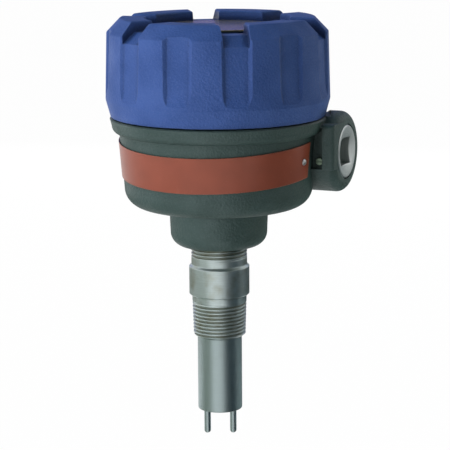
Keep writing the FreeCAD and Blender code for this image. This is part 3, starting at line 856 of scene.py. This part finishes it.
@dataclass
class ConduitEntry:
    """The conduit entry's pipe plug with its thread, dished face and square socket. Metres."""

    frame: Frame
    pitch: float = PIPE_PITCH
    runout: float = 0.5 * PIPE_PITCH
    depth: float = 1.1 * MM
    chamfer: float = 0.9 * MM
    front_land: float = 0.5 * MM
    dish_radius: float = 11.6 * MM
    dish_depth: float = 1.6 * MM
    socket: float = 13.2 * MM
    socket_depth: float = 9.5 * MM
    segments: int = 144
    rows: int = 12

    def build(self) -> None:
        """Builds the threaded plug and finishes the earth screw."""
        low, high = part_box("conduit_plug")
        centre = (low + high) / 2
        length = high.x - low.x
        radius = (high.z - low.z) / 2
        along_entry = Matrix.Rotation(math.radians(90), 4, "Y")
        place = Matrix.Translation((low.x, centre.y, centre.z)) @ along_entry
        lathe = Lathe(self.segments)
        piece = lathe.mesh("threaded_plug", self.rings(lathe, radius, length), False, place)
        settle(piece, Palette.PLUG, ["conduit_plug"])
        dress_node(self.frame, "earth_screw", Palette.EARTH)

    def rings(self, lathe: Lathe, radius: float, length: float) -> List[Ring]:
        """The plug's rings from its inner end, along the thread and into the socket.

        Args:
            lathe: the lathe that draws them.
            radius: the crest's radius.
            length: the plug's length.

        Returns:
            The rings, in order.
        """
        thread = Thread(0.0, length - self.front_land, self.pitch, self.depth, self.runout)
        rings = []
        for level in thread.levels(self.rows) + [length]:
            limit = radius - self.chamfer + min(level, length - level)
            rings.append(lathe.ring(
                lambda a, z=level, top=limit: min(top, radius - thread.cut(z, a)),
                lambda _, z=level: z))
        rings.append(lathe.plain(self.dish_radius, length))
        slope = self.dish_depth / (self.dish_radius - self.socket / 2)
        rings.append(lathe.ring(
            self.square, lambda a: length - slope * (self.dish_radius - self.square(a))))
        floor = length - self.socket_depth
        rings.append(lathe.ring(self.square, lambda _: floor))
        return rings

    def square(self, angle: float) -> float:
        """The distance from the axis to the socket's wall at an angle."""
        return self.socket / 2 / max(abs(math.cos(angle)), abs(math.sin(angle)))


@dataclass
class Housing:
    """The base casting, its nameplate strip and the screw thread of its collar. Metres."""

    frame: Frame
    thread_root: float = 45.6 * MM
    thread_depth: float = 0.9 * MM
    thread_pitch: float = 3.0 * MM
    thread_runout: float = 1.2 * MM
    backing: float = 0.6 * MM
    plain_foot: float = 6.5 * MM
    lead_in: float = 1.3 * MM
    segments: int = 192
    rows: int = 14

    def build(self) -> None:
        """Finishes the casting and builds its thread."""
        dress_node(self.frame, "housing", Palette.HOUSING)
        dress_node(self.frame, "wrap_nameplate", Palette.STRIP)
        dress_node(self.frame, "nameplate_screws", Palette.BRIGHT)
        dress_node(self.frame, "inner_earth_screw", Palette.EARTH)
        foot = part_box("cover")[0].z + self.plain_foot
        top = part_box("housing")[1].z - self.lead_in
        lathe = Lathe(self.segments)
        piece = lathe.mesh("collar_thread", self.rings(lathe, foot, top), True, Matrix())
        settle(piece, Palette.PROBE)

    def rings(self, lathe: Lathe, foot: float, top: float) -> List[Ring]:
        """The collar thread's rings, up its ridges and down inside the collar.

        Args:
            lathe: the lathe that draws them.
            foot: the height where the thread begins.
            top: the height where it ends.

        Returns:
            The rings, in order.
        """
        pitch, depth = self.thread_pitch, self.thread_depth
        thread = Thread(foot, top, pitch, depth, self.thread_runout)
        endless = Thread(foot - pitch, top + pitch, pitch, depth, NO_RUNOUT)
        rings = [lathe.ring(lambda a, z=level: self.ridge(thread, endless, z, a),
                            lambda _, z=level: z)
                 for level in thread.levels(self.rows)]
        inside = self.thread_root - self.backing
        return rings + [lathe.plain(inside, top), lathe.plain(inside, foot)]

    def ridge(self, thread: Thread, endless: Thread, level: float, angle: float) -> float:
        """The thread's radius at a place, let down to the root at both ends.

        Args:
            thread: the thread, which sets where its ridge is let down.
            endless: the same thread at its full depth throughout.
            level: the height.
            angle: the place round the axis.

        Returns:
            The radius.
        """
        height = self.thread_depth - endless.cut(level, angle)
        return self.thread_root + max(0.0, height * thread.fade(level))


@dataclass
class Cover:
    """The fluted cover with its disc and seal."""

    frame: Frame

    def build(self) -> None:
        """Finishes the cover's pieces."""
        dress_node(self.frame, "cover", Palette.COVER)
        dress_node(self.frame, "cover_nameplate", Palette.DISC)
        dress_node(self.frame, "cover_seal", Palette.RUBBER)


@dataclass
class Electronics:
    """The boards and what they carry."""

    frame: Frame
    finishes: Dict[str, Finish] = field(default_factory=lambda: {
        "lower_board": Palette.BOARD,
        "upper_board": Palette.BOARD,
        "board_spacers": Palette.SPACER,
        "board_screws": Palette.BRIGHT,
        "transformer_core": Palette.CORE,
        "transformer_coil": Palette.TAPE,
        "relay": Palette.BLACK,
        "capacitors": Palette.CAN,
        "terminal_block": Palette.TERMINAL,
        "terminal_screws": Palette.BRIGHT,
        "setpoint_trimmer": Palette.TRIMMER,
        "deadband_trimmer": Palette.TRIMMER,
        "setpoint_rotor": Palette.ROTOR,
        "deadband_rotor": Palette.ROTOR,
        "status_lamp": Palette.LAMP,
    })

    def build(self) -> None:
        """Finishes each piece."""
        for node, finish in self.finishes.items():
            dress_node(self.frame, node, finish)


@dataclass
class Softbox:
    """One soft lamp, placed by its bearing from the camera's side. Metres, degrees and watts."""

    name: str
    bearing: float
    height: float
    distance: float
    size: Span
    power: float
    colour: Colour = (1.0, 1.0, 1.0)


@dataclass
class Flag:
    """A panel that only reflections show, upright or lying level. Metres and degrees."""

    name: str
    bearing: float
    level: float
    distance: float
    size: Span
    colour: Colour
    lying: bool = False


@dataclass
class Studio:
    """Floor, soft lamps, panels, a white surround and the photograph's camera. Metres, degrees."""

    turn: float = 22.5
    tilt: float = 11.3
    roll: float = 0.4
    distance: float = 0.916
    aim_height: float = 34.75 * MM
    aim_right: float = 3.0 * MM
    focal_pixels: float = 1845.0
    frame_pixels: float = 450.0
    sensor_mm: float = 36.0
    surround: float = 0.10
    floor_drop: float = 90 * MM
    floor_size: float = 8.0
    floor_patch: float = 0.4
    floor_colours: Tuple[Colour, Colour] = ((0.92, 0.92, 0.92), (0.95, 0.95, 0.95))
    floor_white: float = 0.985
    cloth_patch: float = 0.2
    cloth_shade: float = 0.9
    lamps: List[Softbox] = field(default_factory=lambda: [
        Softbox("key", -55, 4, 1.3, (1.3, 0.5), 17.8, (0.98, 0.96, 1.0)),
        Softbox("front", -16, 2, 1.3, (0.6, 0.5), 0.6),
        Softbox("fill", 88, 6, 1.6, (0.8, 0.5), 1.6, (1.0, 0.95, 0.70)),
        Softbox("bounce", 96, -36, 0.32, (0.25, 0.12), 0.75, (1.0, 1.0, 0.94)),
        Softbox("rear", 172, 6, 1.5, (1.2, 0.5), 9.0, (0.94, 0.97, 1.0)),
        Softbox("top", 180, 86, 1.3, (0.9, 0.9), 7.0, (0.80, 0.96, 1.0)),
    ])
    flags: List[Flag] = field(default_factory=lambda: [
        Flag("low_right", 56, -0.085, 0.20, (0.30, 0.16), (0.02, 0.042, 0.056)),
        Flag("mid_right", 76, 0.015, 0.20, (0.30, 0.04), (0.12, 0.135, 0.135)),
        Flag("low_rear", 130, -0.115, 0.20, (0.28, 0.10), (0.26, 0.31, 0.31)),
        Flag("mid_rear", 130, -0.035, 0.20, (0.28, 0.06), (0.02, 0.03, 0.035)),
        Flag("high_right", 72, 0.05, 0.50, (0.40, 0.26), (0.05, 0.06, 0.06)),
        Flag("high_rear", 150, -0.025, 0.46, (0.60, 0.29), (0.36, 0.40, 0.39)),
        Flag("low_left", -70, -0.085, 0.20, (0.22, 0.16), (0.38, 0.42, 0.36)),
        Flag("mid_far_left", -128, -0.035, 0.20, (0.24, 0.06), (0.30, 0.32, 0.27)),
        Flag("floor_right", 80, -0.155, 0.14, (0.22, 0.22), (0.05, 0.06, 0.06), lying=True),
        Flag("floor_left", -100, -0.155, 0.14, (0.22, 0.22), (0.55, 0.58, 0.50), lying=True),
        Flag("high_front", 20, 0.36, 0.70, (0.90, 0.72), (0.05, 0.06, 0.06)),
        Flag("overhead", 180, 0.70, 0.0, (1.2, 1.2), (0.35, 0.38, 0.48), lying=True),
        Flag("back", 180, 0.44, 0.9, (1.4, 0.56), (0.15, 0.16, 0.50)),
    ])

    def build(self) -> None:
        """Builds the whole studio."""
        bpy.context.scene.view_settings.view_transform = "Standard"
        self.add_floor()
        self.add_surround()
        self.add_camera()
        for lamp in self.lamps:
            self.add_lamp(lamp)
        for flag in self.flags:
            self.add_flag(flag)

    def toward(self, bearing: float, height: float) -> Vector:
        """A direction out from the object.

        Args:
            bearing: degrees to the right of the camera, seen from above.
            height: degrees above the horizon.

        Returns:
            The unit direction.
        """
        side = math.radians(self.turn + bearing)
        rise = math.radians(height)
        return Vector((math.sin(side) * math.cos(rise), -math.cos(side) * math.cos(rise),
                       math.sin(rise)))

    @staticmethod
    def stand(thing: bpy.types.Object, place: Vector, back: Vector) -> None:
        """Puts a lamp or a panel in its place.

        Args:
            thing: the lamp or panel.
            place: where its centre goes.
            back: the direction that its back faces.
        """
        thing.location = place
        thing.rotation_mode = "QUATERNION"
        thing.rotation_quaternion = back.to_track_quat("Z", "Y")

    @staticmethod
    def sheet(name: str, width: float, height: float) -> bpy.types.Object:
        """A flat panel that isn't part of the object.

        Args:
            name: the panel's name.
            width: its size along X.
            height: its size along Y.

        Returns:
            The panel, lying level at the origin.
        """
        data = bpy.data.meshes.new(name)
        x, y = width / 2, height / 2
        data.from_pydata([(-x, -y, 0), (x, -y, 0), (x, y, 0), (-x, y, 0)], [], [(0, 1, 2, 3)])
        panel = put_in_scene(name, data)
        panel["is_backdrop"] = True
        return panel

    def add_floor(self) -> None:
        """Lays the pale floor below the tips, white to the eye and in reflections."""
        floor = self.sheet("floor", self.floor_size, self.floor_size)
        floor.location.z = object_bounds()[0].z - self.floor_drop
        tree = Tree("pale_floor")
        cloud = tree.noise(self.floor_patch, detail=2.0)
        tree.dress(Base_Color=tree.blend(cloud, *self.floor_colours), **MATT)
        glow = tree.add("ShaderNodeEmission", {"Color": WHITE, "Strength": 1.0}).outputs[0]
        share = tree.maths("MULTIPLY", tree.seen(), self.floor_white)
        tree.show("Material Output", share, tree.shader.outputs[0], glow)
        floor.data.materials.append(tree.material)

    def add_surround(self) -> None:
        """Makes the surround white to the eye and in reflections, and a soft grey as a light."""
        world = bpy.data.worlds.new("surround")
        bpy.context.scene.world = world
        world.use_nodes = True
        tree = Nodes(world.node_tree)
        grey = tree.nodes["Background"]
        tree.feed(grey.inputs["Color"], WHITE)
        tree.feed(grey.inputs["Strength"], self.surround)
        white = tree.add("ShaderNodeBackground", {"Color": WHITE, "Strength": 1.0})
        tree.show("World Output", tree.seen(), grey.outputs[0], white.outputs[0])

    def add_camera(self) -> None:
        """Sets the camera at the photograph's place."""
        data = bpy.data.cameras.new("camera")
        data.sensor_width = self.sensor_mm
        data.lens = self.sensor_mm * self.focal_pixels / self.frame_pixels
        camera = put_in_scene("camera", data)
        back = self.toward(0.0, self.tilt)
        right = self.toward(90.0, 0.0)
        target = Vector((0.0, 0.0, self.aim_height)) + right * self.aim_right
        rolled = Matrix.Rotation(math.radians(-self.roll), 4, "Z")
        camera.matrix_world = (Matrix.Translation(target + back * self.distance)
                               @ back.to_track_quat("Z", "Y").to_matrix().to_4x4() @ rolled)
        bpy.context.scene.camera = camera

    def add_lamp(self, lamp: Softbox) -> None:
        """Places one soft lamp that lights the object but isn't itself reflected in it.

        Args:
            lamp: the lamp.
        """
        data = bpy.data.lights.new(lamp.name, "AREA")
        data.shape = "RECTANGLE"
        data.size, data.size_y = lamp.size
        data.energy = lamp.power
        data.color = lamp.colour
        light = put_in_scene(lamp.name, data)
        out = self.toward(lamp.bearing, lamp.height)
        self.stand(light, Vector((0, 0, self.aim_height)) + out * lamp.distance, out)
        light.visible_glossy = False
        light.visible_camera = False

    def add_flag(self, flag: Flag) -> None:
        """Stands a panel near the object that only metal and gloss can see.

        Args:
            flag: the panel.
        """
        panel = self.sheet(flag.name, *flag.size)
        out = self.toward(flag.bearing, 0.0)
        back = Vector((0, 0, 1)) if flag.lying else out
        self.stand(panel, Vector((0, 0, flag.level)) + out * flag.distance, back)
        panel.visible_camera = False
        panel.visible_diffuse = False
        panel.visible_shadow = False
        tree = Tree(flag.name + "_cloth")
        cloth = tree.blend(tree.noise(self.cloth_patch), flag.colour,
                           darker(flag.colour, self.cloth_shade))
        tree.dress(Base_Color=cloth, **MATT)
        panel.data.materials.append(tree.material)


def main() -> None:
    """Builds every sub-assembly on the frame."""
    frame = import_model()
    for assembly in (Housing(frame), ConduitEntry(frame), Probe(frame), Cover(frame),
                     Electronics(frame), Studio()):
        assembly.build()
        LOG.info("finished %s", type(assembly).__name__)


if __name__ == "__main__":
    logging.basicConfig(level=logging.INFO)
    main()
